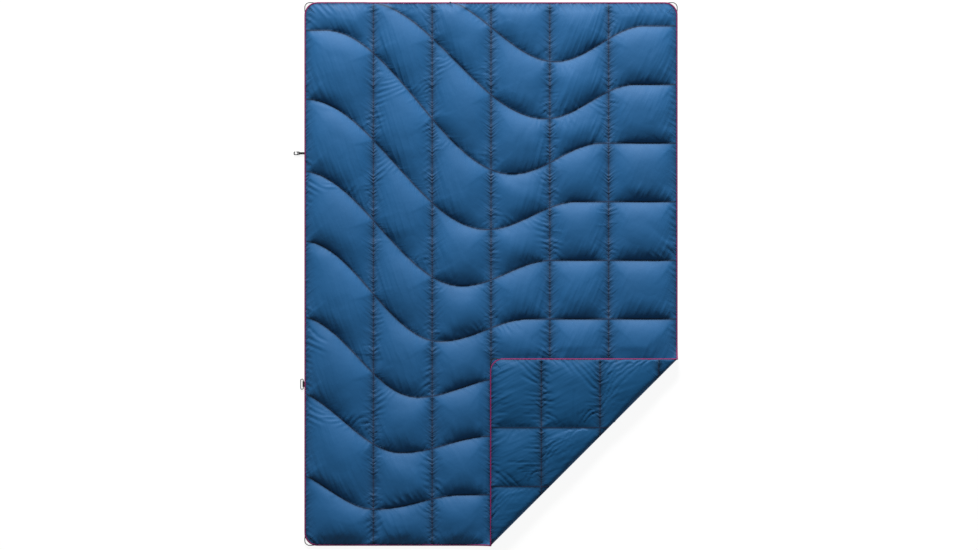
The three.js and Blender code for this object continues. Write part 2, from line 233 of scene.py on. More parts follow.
def seam_fields():
    """How far each grid point is from each seam and from the edge, how far along it, and its direction."""
    far, along, tangent = [], [], []
    for x in COLUMNS:
        far.append(np.abs(flat_x - x))
        along.append(flat_y)
        tangent.append((np.zeros_like(flat_x), np.ones_like(flat_x)))
    xs = np.linspace(-HALF_W, HALF_W, CURVE_POINTS)
    for k in range(len(WAVES)):
        ys = wave_y(k, xs)
        slope = np.interp(flat_x, xs, np.gradient(ys, xs))
        run = np.concatenate([[0], np.cumsum(np.hypot(np.diff(xs), np.diff(ys)))])
        gap = flat_y - wave_y(k, flat_x)
        norm = np.hypot(1, slope)
        far.append(np.abs(gap) / norm)
        along.append(np.interp(flat_x + slope * gap / norm ** 2, xs, run))
        tangent.append((1 / norm, slope / norm))
    far.append(inside_edge(flat_x, flat_y))
    beside = HALF_W - np.abs(flat_x) < HALF_L - np.abs(flat_y)
    along.append(np.where(beside, flat_y, flat_x))
    tangent.append((np.where(beside, 0.0, 1.0), np.where(beside, 1.0, 0.0)))
    return np.array(far), np.array(along), np.array(tangent)


seam_far, seam_along, seam_tangent = seam_fields()
nearest = seam_far.argmin(axis=0)
rows, columns = np.ogrid[:NX, :NY]
near_far = seam_far[nearest, rows, columns]
near_tangent = seam_tangent[nearest, :, rows, columns]


# ---- Cloth simulation: a sheet on that grid, a little too long, blown up between its held points ----

NOSE = 0.060  # within this distance of the fold the back fabric is laid round the turn
NOSE_BULGE = 0.003
FACE_SLACK, BACK_SLACK = 0.010, 0.018
GATHER_FADE, SUPPORT_FADE = 0.014, 0.020  # how fast the gathers and the fibre's give die away from a seam


def for_seams(columns, waves, edge):
    """A value for each column seam, each wave seam and the edge."""
    return np.array([columns] * len(COLUMNS) + [waves] * len(WAVES) + [edge])


# How much longer than its seam the fabric beside it is. The face is drawn in along the columns, and the
# back along the waves.
FACE_GATHER, BACK_GATHER = for_seams(0.12, 0.015, 0.09), for_seams(0.03, 0.15, 0.09)


def noise(seed, scale):
    """Soft random values from -1 to 1 over the grid, with features about scale across."""
    random = np.random.default_rng(seed)
    cells = (int(2 * HALF_W / scale) + 3, int(2 * HALF_L / scale) + 3)
    coarse = random.uniform(-1, 1, cells)
    u = (flat_x + HALF_W) / scale + 0.5
    v = (flat_y + HALF_L) / scale + 0.5
    i, j = np.clip(u.astype(int), 0, cells[0] - 2), np.clip(v.astype(int), 0, cells[1] - 2)
    s, t = smooth(u - i), smooth(v - j)
    low = coarse[i, j] * (1 - s) + coarse[i + 1, j] * s
    high = coarse[i, j + 1] * (1 - s) + coarse[i + 1, j + 1] * s
    return low * (1 - t) + high * t


LOFT_ROUNDS, LOFT_SCALE, LOFT_POWER = 900, 0.0033, 0.90


def loft():
    """How full each place is, from 0 at a seam to about 1 in the middle of a cell."""
    still = sewn | rim | ~used
    u = np.zeros((NX, NY), np.float32)
    free = (~still[1:-1, 1:-1]).astype(np.float32)
    for _ in range(LOFT_ROUNDS):
        u[1:-1, 1:-1] = (u[2:, 1:-1] + u[:-2, 1:-1] + u[1:-1, 2:] + u[1:-1, :-2] + STEP * STEP) / 4 * free
    full = (u / LOFT_SCALE) ** LOFT_POWER
    return full / (1 + full ** 8) ** (1 / 8)


full = loft()
seam_z = seam_height(flat_x, flat_y)


def turn_depth(fullness):
    """How far below the fold's axis the back fabric is, clear of the turn."""
    level = np.where(past < 0, SEAM_Z, FLAP_SEAM_Z)
    return FOLD_Z - level + (level - 0.0003) * fullness


def turn_width(fullness):
    return 0.018 + (FOLD_Z - 0.018) * fullness


def back_height(distance, fullness):
    """Height of the back fabric at this plan distance from the fold, round the turn and beyond it."""
    width, depth = turn_width(fullness), turn_depth(fullness)
    t = 1 - np.clip((distance + NOSE_BULGE * fullness) / width, 0, 1)
    return FOLD_Z - depth * np.sqrt(1 - t * t)


def round_the_turn():
    """How far the flat back fabric moves to be as long as it is round the outside of the turn."""
    distance = np.abs(past)
    along = distance / NOSE * (math.pi / 2 * FOLD_Z + NOSE - FOLD_Z)
    angle = np.minimum(along / FOLD_Z, math.pi / 2)
    reach = FOLD_Z * (1 - np.cos(angle)) + np.maximum(along - math.pi / 2 * FOLD_Z, 0)
    shift = (reach - distance) * np.where(past < 0, -1, 1) / math.sqrt(2)
    near = (distance < NOSE)[..., None]
    return np.stack([shift, -shift, FOLD_Z * (1 - np.sin(angle))], axis=-1) * near


def links(rest, gather):
    """(one end, other end, length, shares, stretch) for each set of grid edges that share no points."""
    free = (~held).astype(np.float32)
    sets = []
    for di, dj in ((1, 0), (0, 1), (1, 1), (1, -1)):
        for phase in (0, 1):
            if di:
                a = (slice(phase, NX - 1, 2), slice(max(0, -dj), NY - max(0, dj)))
                b = (slice(phase + 1, NX, 2), slice(max(0, dj), NY - max(0, -dj)))
            else:
                a, b = (slice(None), slice(phase, NY - 1, 2)), (slice(None), slice(phase + 1, NY, 2))
            sets.append((a, b, True))
    for axis in (0, 1):
        for phase in range(4):
            count = len(range(phase + 2, (NX, NY)[axis], 4))
            one, two = slice(phase, phase + 4 * count, 4), slice(phase + 2, None, 4)
            whole = slice(None)
            ends = ((one, whole), (two, whole)) if axis == 0 else ((whole, one), (whole, two))
            sets.append((*ends, False))
    gathered = gather[nearest] * np.exp(-near_far / GATHER_FADE)
    made = []
    for a, b, stretch in sets:
        d = rest[b] - rest[a]
        if stretch:
            t = near_tangent[a]
            d[..., :2] += t * ((d[..., :2] * t).sum(axis=-1) * gathered[a])[..., None]
        length = np.linalg.norm(d, axis=-1).astype(np.float32)
        total = np.maximum(free[a] + free[b], 1)
        real = (used[a] & used[b]).astype(np.float32)
        shares = [(free[end] * real / total)[..., None] for end in (a, b)]
        made.append((a, b, length, *shares, stretch))
    return made


def normals(p):
    across, up = np.zeros_like(p), np.zeros_like(p)
    across[1:-1] = p[2:] - p[:-2]
    up[:, 1:-1] = p[:, 2:] - p[:, :-2]
    n = np.cross(across, up)
    return n / np.maximum(np.linalg.norm(n, axis=-1, keepdims=True), 1e-12)


def inside_the_tape(p):
    """Keeps the sheet from bulging out over the edge tape."""
    for axis, half in ((0, HALF_W), (1, HALF_L)):
        p[..., axis] = np.clip(p[..., axis], 2 * TAPE_HALF - half, half - 2 * TAPE_HALF)
    return p


def inflate(start, rest, gather, pressure, limit, steps, rounds=6, bend=0.08):
    """Relaxes a sheet from start, its edges as long as in rest, blown along its normals and kept by limit."""
    p = start.astype(np.float32)
    speed = np.zeros_like(p)
    made = links(rest, gather)
    loose = (~held)[..., None]
    for step in range(steps):
        before = p.copy()
        fade = min(1.0, 3.0 * (1 - step / steps) + 0.15)
        p = p + (speed * 0.93 + normals(p) * (pressure * fade)[..., None]) * loose
        for _ in range(rounds):
            for a, b, length, share_a, share_b, stretch in made:
                d = p[b] - p[a]
                now = np.sqrt(np.einsum("ijk,ijk->ij", d, d)) + 1e-9
                gain = (now - length) / now
                if not stretch:
                    gain = np.minimum(gain, 0) * bend
                d *= gain[..., None]
                p[a] += d * share_a
                p[b] -= d * share_b
        p = np.where(loose, inside_the_tape(limit(p.copy())), p)
        speed = p - before
    return p


def too_long(slack, seed, moved=0.0):
    """The sheet, moved and made longer by slack, and shifted here and there as it was fed to the machine."""
    feed = 0.004 * np.stack([noise(seed, 0.22), noise(seed + 1, 0.22)], axis=-1)
    drag = 0.007 * smooth((flat_x + HALF_W) / 0.11) - 0.004 * smooth((HALF_W - flat_x) / 0.10)
    x, y = flat_x + feed[..., 0], flat_y + feed[..., 1] + drag
    return (np.stack([x, y, np.zeros_like(x)], axis=-1) + moved) * (1 + slack)


def crumple(seed):
    return 0.0008 * noise(seed, 0.012) + 0.0006 * noise(seed + 1, 0.02)


def support(seed, give):
    """How far up the fibre holds the fabric, as a share of the full height. It gives beside seams."""
    share = 0.93 - (give[nearest] * np.exp(-near_far / SUPPORT_FADE)) - 0.10 * (1 + noise(seed, 0.16)) / 2
    return np.clip(share, 0, 1)


def simulate_face(steps):
    low = np.where(on_fold, FOLD_Z, seam_z + THREAD)
    start = np.stack([flat_x, flat_y, low + np.where(held, 0, 0.004 + crumple(1))], axis=-1)
    covered = smooth((flat_x + 0.05) / 0.05) * smooth((-0.25 - flat_y) / 0.05)
    covered = np.maximum(covered, smooth((past + 0.11) / 0.05))
    top = TOP_Z + (FOLD_Z - 0.0006 - TOP_Z) * covered
    high = np.minimum(low + (top - low) * full * (1 + 0.06 * noise(3, 0.14) * (1 - covered)), TOP_Z + 0.001)

    held_up = low + (high - low) * support(11, for_seams(0.6, 0.10, 0.65))

    def limit(p):
        p[..., 2] = np.clip(p[..., 2], held_up, high)
        return p

    pressure = 0.00012 * (1 + 0.3 * noise(4, 0.2))
    return inflate(start, too_long(FACE_SLACK, 20), FACE_GATHER, pressure.astype(np.float32), limit, steps)


def simulate_back(steps):
    distance = np.abs(past)
    near = distance < NOSE
    rest = too_long(BACK_SLACK, 30, round_the_turn())
    high = np.where(near, back_height(distance, np.zeros_like(full)), seam_z - THREAD)
    high = np.where(rim, seam_z - THREAD, high)
    high[on_fold] = FOLD_Z
    sag = np.minimum(full * np.where(past > 0, 1.0, 1.7) * (1 + 0.06 * noise(7, 0.14)), 1)
    low = np.where(rim, high, back_height(distance, sag))
    start_z = high + (low - high) * 0.5 + crumple(5)
    start = np.stack([flat_x, flat_y, np.where(held, high, start_z)], axis=-1)
    held_down = high + (low - high) * support(13, for_seams(0.25, 0.75, 0.65)) * np.where(past > 0, 1, 0.5)
    width, depth, bulge = turn_width(sag), turn_depth(sag), NOSE_BULGE * sag
    outward = np.where(past < 0, 1, -1) / math.sqrt(2)

    def limit(p):
        from_fold = beyond_fold(p[..., 0], p[..., 1]) * np.where(past < 0, -1, 1)
        p[..., 2] = np.clip(p[..., 2], np.where(near, FOLD_Z - depth, low), np.where(near, high, held_down))
        reach, drop = np.maximum(width - from_fold - bulge, 0), FOLD_Z - p[..., 2]
        outside = np.maximum(np.hypot(reach / width, drop / depth), 1e-9)
        squeeze = np.where(near, np.clip(outside, 0.95, 1) / outside, 1)
        move = reach * (squeeze - 1) * outward
        p[..., 2] = FOLD_Z - drop * squeeze
        p[..., 0] += move
        p[..., 1] -= move
        return p

    pressure = -0.00012 * (1 + 0.3 * noise(8, 0.2))
    return inflate(start, rest, BACK_GATHER, pressure.astype(np.float32), limit, steps)


STEPS = 150
with ThreadPoolExecutor() as workers:
    both = [workers.submit(simulate_face, STEPS), workers.submit(simulate_back, STEPS)]
    face, back = (job.result() for job in both)


# ---- Making pieces ----

def make_object(name, points, faces, body, material, replaces=(), smooth_shade=True):
    mesh = bpy.data.meshes.new(name)
    mesh.from_pydata(np.asarray(points, float).tolist(), [], faces)
    if smooth_shade:
        mesh.shade_smooth()
    mesh.materials.append(material)
    piece = bpy.data.objects.new(name, mesh)
    bpy.context.scene.collection.objects.link(piece)
    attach(piece, body)
    if replaces:
        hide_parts(*replaces)
    return piece


def add_uv(piece, name, u, v):
    """A texture map from values at each face corner."""
    layer = piece.data.uv_layers.new(name=name)
    layer.data.foreach_set("uv", np.stack([u, v], axis=-1).astype(np.float32).ravel())


def swept(path, section, up=(0, 0, 1), closed=False, round_ends=0):
    """Points, faces and (along, around) values of a section, (side, rise) pairs, carried along a path."""
    path, section = np.asarray(path, float), np.asarray(section, float)
    if closed:
        ahead, behind = np.roll(path, -1, axis=0), np.roll(path, 1, axis=0)
        tangent = ahead - behind
    else:
        tangent = np.gradient(path, axis=0)
    tangent /= np.linalg.norm(tangent, axis=1, keepdims=True)
    side = np.cross(tangent, up)
    side /= np.linalg.norm(side, axis=1, keepdims=True)
    rise = np.cross(side, tangent)
    size = np.ones(len(path))
    if round_ends:
        reach = np.abs(section[:, 1]).max()
        extra = reach * (1 - np.linspace(0, 1, round_ends + 1)[:-1])
        head = path[0] - tangent[0] * extra[:, None]
        tail = path[-1] + tangent[-1] * extra[::-1, None]
        size = np.concatenate([np.maximum(np.sqrt(1 - (extra / reach) ** 2), 0.05), size])
        size = np.concatenate([size, size[:round_ends][::-1]])
        path = np.concatenate([head, path, tail])
        side = np.concatenate([side[:1].repeat(round_ends, 0), side, side[-1:].repeat(round_ends, 0)])
        rise = np.concatenate([rise[:1].repeat(round_ends, 0), rise, rise[-1:].repeat(round_ends, 0)])
    n, m = len(path), len(section)
    ring = side[:, None] * section[None, :, :1] + rise[:, None] * section[None, :, 1:]
    points = (path[:, None] + ring * size[:, None, None]).reshape(-1, 3)
    run = np.concatenate([[0], np.cumsum(np.linalg.norm(np.diff(path, axis=0), axis=1))])
    faces, along, around = [], [], []
    for i in range(n if closed else n - 1):
        k = (i + 1) % n
        for j in range(m):
            q = (j + 1) % m
            faces.append([i * m + j, i * m + q, k * m + q, k * m + j])
            end = run[i] + np.linalg.norm(path[k] - path[i])
            along += [run[i], run[i], end, end]
            around += [j / m, (j + 1) / m, (j + 1) / m, j / m]
    if not closed:
        faces += [list(range(m))[::-1], list(range((n - 1) * m, n * m))]
        along += [run[0]] * m + [run[-1]] * m
        around += [j / m for j in range(m)] * 2
    return points, faces, along, around


def sweep_piece(name, path, section, body, slot, material, replaces=(), flap=False, **how):
    points, faces, along, around = swept(path, section, **how)
    if flap:
        points = turned_over(points)
    piece = make_object(name, points, faces, body, material, replaces)
    add_uv(piece, "run", along, around)
    return piece


def ellipse(a, b, count):
    t = np.arange(count) / count * 2 * math.pi
    return np.stack([a * np.cos(t), b * np.sin(t)], axis=-1)


def rounded_polygon(corners, steps=6):
    """A closed outline of (x, y, corner radius), as points."""
    places = [Vector(c[:2]) for c in corners]
    points = []
    for i, (x, y, radius) in enumerate(corners):
        here = places[i]
        back, on = (places[i - 1] - here).normalized(), (places[(i + 1) % len(places)] - here).normalized()
        half = back.angle(on) / 2
        centre = here + (back + on).normalized() * (radius / math.sin(half))
        start, end = here + back * (radius / math.tan(half)), here + on * (radius / math.tan(half))
        for t in np.linspace(0, 1, steps + 1):
            spoke = (start - centre).lerp(end - centre, t)
            points.append(centre + spoke.normalized() * radius)
    return points


# ---- Materials ----

class Nodes:
    """Short names for making a material's nodes."""

    def __init__(self, name, roughness, specular=0.5):
        self.material = bpy.data.materials.new(name)
        self.material.use_nodes = True
        self.tree = self.material.node_tree
        self.shader = self.tree.nodes["Principled BSDF"]
        self.set(self.shader, Roughness=roughness)
        self.shader.inputs["Specular IOR Level"].default_value = specular

    def set(self, node, **values):
        for key, value in values.items():
            self.feed(node.inputs[key.replace("_", " ")], value)
        return node

    def feed(self, socket, value):
        if isinstance(value, bpy.types.NodeSocket):
            self.tree.links.new(value, socket)
        else:
            socket.default_value = value

    def add(self, kind, **values):
        return self.set(self.tree.nodes.new(kind), **values)

    def math(self, operation, a, b=0.0, c=0.0):
        node = self.tree.nodes.new("ShaderNodeMath")
        node.operation = operation
        for socket, value in zip(node.inputs, (a, b, c)):
            self.feed(socket, value)
        return node.outputs[0]

    def uv(self, name):
        node = self.tree.nodes.new("ShaderNodeUVMap")
        node.uv_map = name
        return node.outputs[0]

    def stretch(self, vector, scale):
        return self.add("ShaderNodeMapping", Vector=vector, Scale=scale).outputs[0]

    def noise(self, vector, scale, detail=2.0):
        return self.add("ShaderNodeTexNoise", Vector=vector, Scale=scale, Detail=detail).outputs[0]

    def bump(self, height, distance, strength=1.0, onto=None):
        node = self.add("ShaderNodeBump", Height=height, Distance=distance, Strength=strength)
        if onto:
            self.tree.links.new(onto, node.inputs["Normal"])
        return node.outputs[0]

    def mix(self, factor, a, b):
        node = self.tree.nodes.new("ShaderNodeMix")
        node.data_type = "RGBA"
        self.tree.links.new(factor, node.inputs[0])
        for socket, value in ((node.inputs[6], a), (node.inputs[7], b)):
            self.feed(socket, value if isinstance(value, bpy.types.NodeSocket) else (*value, 1))
        return node.outputs[2]


def nylon(name, colour, specular):
    """Calendered nylon: satin, with short puckers beside the seams, slanting creases and a fine weave, and
    shade painted into its colour along the seams.
    """
    m = Nodes(name, 0.68, specular)
    place = m.add("ShaderNodeTexCoord").outputs["Object"]
    far = m.add("ShaderNodeSeparateXYZ", Vector=m.uv("seam")).outputs["Y"]
    pleated = m.add("ShaderNodeSeparateXYZ", Vector=m.uv("pleats"))
    strength, painted_seam_shade = pleated.outputs["X"], pleated.outputs["Y"]
    above = m.add("ShaderNodeSeparateXYZ", Vector=m.uv("flow")).outputs["Y"]
    pleats = m.noise(m.stretch(m.uv("seam"), (1.0, 0.24, 1.0)), 84.0, 2.5)
    uneven = m.math("MULTIPLY_ADD", m.noise(m.stretch(m.uv("seam"), (1.0, 0.1, 1.0)), 17.0, 1.0), 2.8, -0.7)
    uneven.node.use_clamp = True
    fading = m.math("EXPONENT", m.math("MULTIPLY", far, -70.0))
    beside = m.math("MULTIPLY", fading, m.math("MULTIPLY", strength, uneven))
    creases = m.noise(m.stretch(m.uv("flow"), (1.0, 0.20, 1.0)), 54.0, 0.6)
    patches = m.math("MULTIPLY_ADD", m.noise(place, 9.0, 1.0), 3.2, -1.1)
    patches.node.use_clamp = True
    low_down = m.math("MULTIPLY_ADD", m.math("EXPONENT", m.math("MULTIPLY", above, -10.0)), 1.35, 0.08)
    height = m.math("ADD", m.math("MULTIPLY", pleats, m.math("MULTIPLY", beside, 2.1)),
                    m.math("MULTIPLY", creases, m.math("MULTIPLY", low_down, patches)))
    height = m.math("ADD", height, m.math("MULTIPLY", m.noise(place, 34.0, 3.0), 0.12))
    fine = m.bump(m.noise(place, 900.0, 1.0), 0.0001, 0.35)
    m.set(m.shader, Normal=m.bump(height, 0.0050, 1.0, fine))
    # Painted shade: below, the colour is darkened to 12 % of itself in the folds of the pleats, right at every
    # seam, and beside the seams weighted for it in the pleats map.
    painted_fold_shade = m.math("MULTIPLY_ADD", pleats, -5.5, 2.85)
    painted_fold_shade.node.use_clamp = True
    painted_crevice_shade = m.math("EXPONENT", m.math("MULTIPLY", far, -240.0))
    slope = m.math("EXPONENT", m.math("MULTIPLY", far, -90.0))
    painted_valley_shade = m.math("MULTIPLY", slope, m.math("MULTIPLY", painted_seam_shade, 0.72))
    painted_shade = m.math("MAXIMUM", m.math("MAXIMUM", painted_crevice_shade, painted_valley_shade), m.math("MULTIPLY", painted_fold_shade, beside))
    painted_shade.node.use_clamp = True
    painted_dark = tuple(c * 0.12 for c in colour)
    cloudy = m.mix(m.noise(place, 5.0, 2.0), tuple(c * 0.9 for c in colour), tuple(c * 1.1 for c in colour))
    m.set(m.shader, Base_Color=m.mix(painted_shade, cloudy, painted_dark))
    return m.material


def woven(name, colour, roughness, pitch, depth, rows=2.0):
    """Tape or webbing, woven in short steps along its run."""
    m = Nodes(name, roughness, 0.3)
    run = m.add("ShaderNodeSeparateXYZ", Vector=m.uv("run"))
    warp = m.math("SINE", m.math("MULTIPLY", run.outputs["X"], 2 * math.pi / pitch))
    weft = m.math("SINE", m.math("MULTIPLY", run.outputs["Y"], 2 * math.pi * rows))
    check = m.math("MULTIPLY_ADD", m.math("MULTIPLY", warp, weft), 0.5, 0.5)
    m.set(m.shader, Normal=m.bump(check, depth))
    m.set(m.shader, Base_Color=m.mix(check, tuple(c * 0.6 for c in colour), colour))
    return m.material


def plain(name, colour, roughness, grain_scale, grain_depth, specular=0.5):
    m = Nodes(name, roughness, specular)
    place = m.add("ShaderNodeTexCoord").outputs["Object"]
    grain = m.noise(place, grain_scale, 2.0)
    m.set(m.shader, Normal=m.bump(grain, grain_depth))
    m.set(m.shader, Base_Color=m.mix(grain, tuple(c * 0.85 for c in colour), tuple(c * 1.15 for c in colour)))
    return m.material


face_nylon = nylon("face_nylon", (0.0022, 0.092, 0.250), 0.45)
back_nylon = nylon("back_nylon", (0.0020, 0.080, 0.212), 0.30)
tape = woven("binding_tape", (0.27, 0.014, 0.125), 0.6, 0.0011, 0.0002, 8.0)
thread = plain("quilt_thread", (0.032, 0.026, 0.080), 0.7, 4000.0, 0.0001, 0.2)
tape_stitch = plain("tape_stitch", (0.24, 0.012, 0.110), 0.7, 4000.0, 0.0001, 0.2)
fibre = plain("fill_fibre", (0.80, 0.82, 0.82), 0.9, 700.0, 0.002, 0.2)
cord_black = woven("loop_cord", (0.022, 0.022, 0.026), 0.6, 0.0022, 0.0005, 3.0)
webbing = woven("webbing", (0.016, 0.016, 0.018), 0.65, 0.0016, 0.0004, 6.0)
moulded = plain("moulded_nylon", (0.012, 0.012, 0.014), 0.38, 2500.0, 0.00004, 0.5)


# ---- The four fabric panels ----

def cloth_faces(corner, upward):
    """The grid's faces on one side of the fold. Cells that a seam crosses are split along it."""
    number = np.arange(NX * NY).reshape(NX, NY)
    a, b, c, d = number[:-1, :-1], number[1:, :-1], number[1:, 1:], number[:-1, 1:]
    flat = chain.ravel()
    rising = cell & (flat[a] > 0) & (flat[a] == flat[c])
    falling = cell & (flat[b] > 0) & (flat[b] == flat[d]) & ~rising
    plain_cells = cell & ~rising & ~falling
    kinds = [(plain_cells, (a, b, c, d)), (rising, (a, b, c)), (rising, (a, c, d)), (falling, (a, b, d)),
             (falling, (b, c, d))]
    faces = []
    for mask, loop in kinds:
        group = np.stack([m[mask] for m in loop], axis=1)
        group = group[(past.ravel()[group].mean(axis=1) > 0) == corner]
        faces.append(group if upward else group[:, ::-1])
    return faces


# How strong the short pleats beside each seam are, on the face and on the back, both in their bumps and in the
# shade painted into their folds.
PLEATS = {True: for_seams(1.0, 0.25, 0.8), False: for_seams(0.25, 1.0, 0.8)}
above_wave = [flat_y - wave_y(k, flat_x) for k in range(len(WAVES))] + [flat_y + HALF_L]
above_wave = np.array(above_wave).reshape(len(WAVES) + 1, -1)
# How strong the shade painted into the colour beside each seam is, on the face and on the back. It stands for
# the light from the head, which leaves the seams that run towards it darker. Because it is painted, this shade
# stays in other light.
beside_edge = (seam_tangent[-1, 1] > 0.5).ravel()
PAINTED_SHADE_BY_SEAM = {True: for_seams(1.0, 0.0, 0.2), False: for_seams(0.0, 1.0, 1.0)}
LEAN = 0.45 * np.tanh(flat_x.ravel() / 0.2)  # creases lean outwards on both sides


def cloth(name, points, corner, upward, material, replaces):
    groups = cloth_faces(corner, upward)
    wanted = np.unique(np.concatenate([g.ravel() for g in groups]))
    place = np.zeros(NX * NY, int)
    place[wanted] = np.arange(len(wanted))
    co = points.reshape(-1, 3)[wanted].astype(float)
    if corner:
        co = turned_over(co)
    faces = [f for g in groups for f in place[g].tolist()]
    piece = make_object(name, co, faces, "corner_flap" if corner else "blanket", material, replaces)
    far, along = seam_far.reshape(len(seam_far), -1), seam_along.reshape(len(seam_along), -1)
    u, v, pleats, painted_seam_shade, across, above = [], [], [], [], [], []
    painted_side_shade = 1.0 if upward else 0.2
    for g in groups:
        seam = far[:, g].mean(axis=2).argmin(axis=0)[:, None]
        u.append((along[seam, g] - 0.7 * far[seam, g]).ravel())
        v.append(far[seam, g].ravel())
        pleats.append(PLEATS[upward][seam].repeat(g.shape[1], axis=1).ravel())
        # Weight of the shade painted along the nearest seam, with its own weight beside the side edges.
        painted_dark = np.where((seam == len(seam_far) - 1) & beside_edge[g], painted_side_shade, PAINTED_SHADE_BY_SEAM[upward][seam])
        painted_seam_shade.append(painted_dark.ravel())
        gap = above_wave[:, g].mean(axis=2)
        band = np.where(gap > 0, gap, 9).argmin(axis=0)[:, None]
        above.append(above_wave[band, g].ravel())
        across.append(flat_x.ravel()[g].ravel() - LEAN[g].ravel() * above[-1])
    add_uv(piece, "seam", np.concatenate(u), np.concatenate(v))
    # The pleats map holds the pleats' strength, and second the weight of the shade painted along each seam.
    add_uv(piece, "pleats", np.concatenate(pleats), np.concatenate(painted_seam_shade))
    add_uv(piece, "flow", np.concatenate(across), np.concatenate(above))
    return piece


for start in ("", "flap_"):
    for side, points, material in (("face", face, face_nylon), ("back", back, back_nylon)):
        cloth(f"{start}{side}_fabric", points, bool(start), side == "face",
                                                material, [f"{start}{side}_shell"])


# ---- Fibre between the fabrics ----

def thin_grid(lines_at, step):
    """Every few grid lines, with all of lines_at among them."""
    kept = []
    for a, b in zip(lines_at, lines_at[1:]):
        inner = np.linspace(a + 2, b - 2, max(1, round((b - a - 4) / step)) + 1).round().astype(int)
        kept += [a, *inner]
    return np.array(kept + [lines_at[-1]])


def smallest_around(values, reach=3):
    out = values.copy()
    for di in range(-reach, reach + 1):
        for dj in range(-reach, reach + 1):
            out = np.minimum(out, np.roll(values, (di, dj), axis=(0, 1)))
    return out


def fill_piece(node, inside, upper, lower, corner):
    """A closed body between two height fields over the coarse cells that are inside."""
    number = -np.ones((len(fill_i), len(fill_j)), int)
    corners = np.zeros(number.shape, bool)
    for di in (0, 1):
        for dj in (0, 1):
            corners[di:len(fill_i) - 1 + di, dj:len(fill_j) - 1 + dj] |= inside
    number[corners] = np.arange(corners.sum())
    n = int(corners.sum())
    grid = np.ix_(fill_i, fill_j)
    x, y = flat_x[grid][corners], flat_y[grid][corners]
    points = np.concatenate([np.stack([x, y, h[grid][corners]], axis=-1) for h in (upper, lower)])
    faces = []
    edges = {}
    for i, j in np.argwhere(inside):
        a, b, c, d = number[i, j], number[i + 1, j], number[i + 1, j + 1], number[i, j + 1]
        faces += [[a, b, c, d], [d + n, c + n, b + n, a + n]]
        for p, q in ((a, b), (b, c), (c, d), (d, a)):
            if (q, p) in edges:
                del edges[(q, p)]
            else:
                edges[(p, q)] = True
    faces += [[q, p, p + n, q + n] for p, q in edges]
    if corner:
        points = turned_over(points)
    body = "corner_flap" if corner else "blanket"
    piece = make_object(node.replace("fill_band", "batt"), points, faces, body, fibre, [node])


column_lines = [int(np.argmin(np.abs(grid_x - x))) for x in (grid_x[0], *COLUMNS, grid_x[-1])]
BATT_STEP = 3  # grid lines to a cell
BATT_GAPS = (0.022, 0.014, 0.05)  # clear of the edge, of the wave seams and of the fold
BATT_TIP_GAPS = (0.012, 0.008, 0.016)
BATT_SHARE, BATT_TIP_SHARE = 0.8, 0.25  # how far it reaches from the seams' height towards each fabric
BATT_COLUMN_GAP = 0.012  # it is pinched flat this near a column seam
fill_i = thin_grid(column_lines, BATT_STEP)
fill_j = thin_grid([0, NY - 1], BATT_STEP)
off_columns = seam_far[:len(COLUMNS)].min(axis=0) > BATT_COLUMN_GAP


def batt_heights(share):
    up = (smallest_around(face[..., 2]) - seam_z) * share * off_columns
    down = (seam_z + smallest_around(-back[..., 2])) * share * off_columns
    return seam_z + up.clip(0.0001), seam_z - down.clip(0.0001)


mid_x, mid_y = ((v[1:, 1:] + v[:-1, :-1]) / 2 for v in (a[np.ix_(fill_i, fill_j)] for a in (flat_x, flat_y)))
for b in range(len(WAVES) + 1):
    for corner in (False, True):
        node = f"{'flap_' if corner else ''}fill_band_{b + 1:02d}"
        if node not in frame["nodes"]:
            continue
        # The tip of a band that the fold cuts off is too small for the clearances of the others.
        tip = node == "flap_fill_band_07"
        from_edge, from_wave, from_fold = BATT_TIP_GAPS if tip else BATT_GAPS
        inside = inside_edge(mid_x, mid_y) > from_edge
        inside &= beyond_fold(mid_x, mid_y) * (1 if corner else -1) > from_fold
        if b:
            inside &= mid_y < wave_y(b - 1, mid_x) - from_wave
        if b < len(WAVES):
            inside &= mid_y > wave_y(b, mid_x) + from_wave
        fill_piece(node, inside, *batt_heights(BATT_TIP_SHARE if tip else BATT_SHARE), corner)


# ---- Stitches ----

STITCH_PITCH, STITCH_LENGTH = 0.0042, 0.0031
STITCH_WIDTH, STITCH_RISE = 0.00055, 0.0004


def along_line(points, pitch):
    """Even places along a polyline, with the direction at each."""
    points = np.asarray(points, float)
    run = np.concatenate([[0], np.cumsum(np.linalg.norm(np.diff(points, axis=0), axis=1))])
    at = np.arange(pitch / 2, run[-1], pitch)
    here = np.stack([np.interp(at, run, points[:, k]) for k in range(3)], axis=-1)
    ahead = np.stack([np.interp(at + pitch / 4, run, points[:, k]) for k in range(3)], axis=-1)
    behind = np.stack([np.interp(at - pitch / 4, run, points[:, k]) for k in range(3)], axis=-1)
    way = ahead - behind
    return here, way / np.linalg.norm(way, axis=1, keepdims=True)


